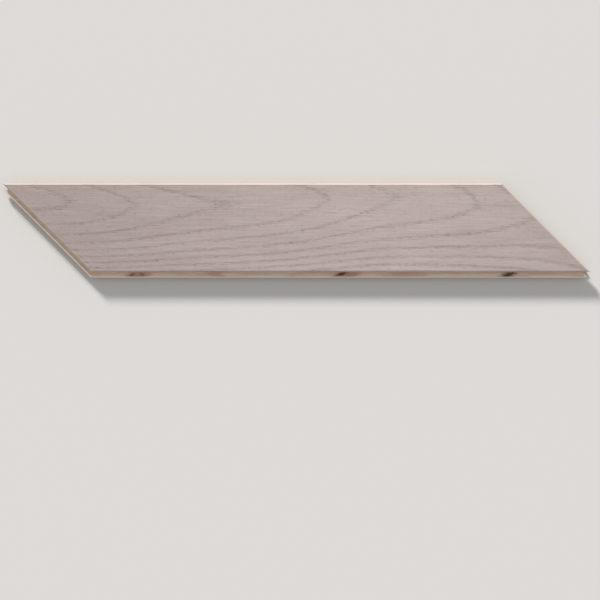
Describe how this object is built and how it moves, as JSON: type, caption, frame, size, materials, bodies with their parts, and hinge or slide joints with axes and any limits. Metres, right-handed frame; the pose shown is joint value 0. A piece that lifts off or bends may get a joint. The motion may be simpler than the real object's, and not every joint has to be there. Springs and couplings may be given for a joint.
{
  "type": "chevron floor plank",
  "caption": "Mitred oak-faced plank for a chevron floor: tongue on one edge and end, groove on the opposite pair, saw kerfs across its plywood back.",
  "frame": {"origin": "on the back, under the middle of the face's outline without the tongues", "axes": "+X along the plank, +Y towards the edge with the long groove, +Z out of the finished face"},
  "size_m": [0.6, 0.096, 0.015],
  "materials": {
    "oiled_oak": "brushed oak, grey-beige matt oil",
    "birch_long_ply": "sawn birch veneer, grain along the plank",
    "birch_cross_ply": "sawn birch veneer, grain across the plank",
    "birch_back": "pale sanded birch veneer, bare"
  },
  "bodies": {
    "root": {"back_veneer": "birch_back", "core_ply_2": "birch_cross_ply", "core_ply_3": "birch_long_ply", "core_ply_4": "birch_cross_ply", "core_ply_5": "birch_long_ply", "core_ply_6": "birch_cross_ply", "core_ply_7": "birch_long_ply", "core_ply_8": "birch_cross_ply", "core_ply_9": "birch_long_ply", "oak_wear_layer": "oiled_oak"}
  },
  "joints": []
}
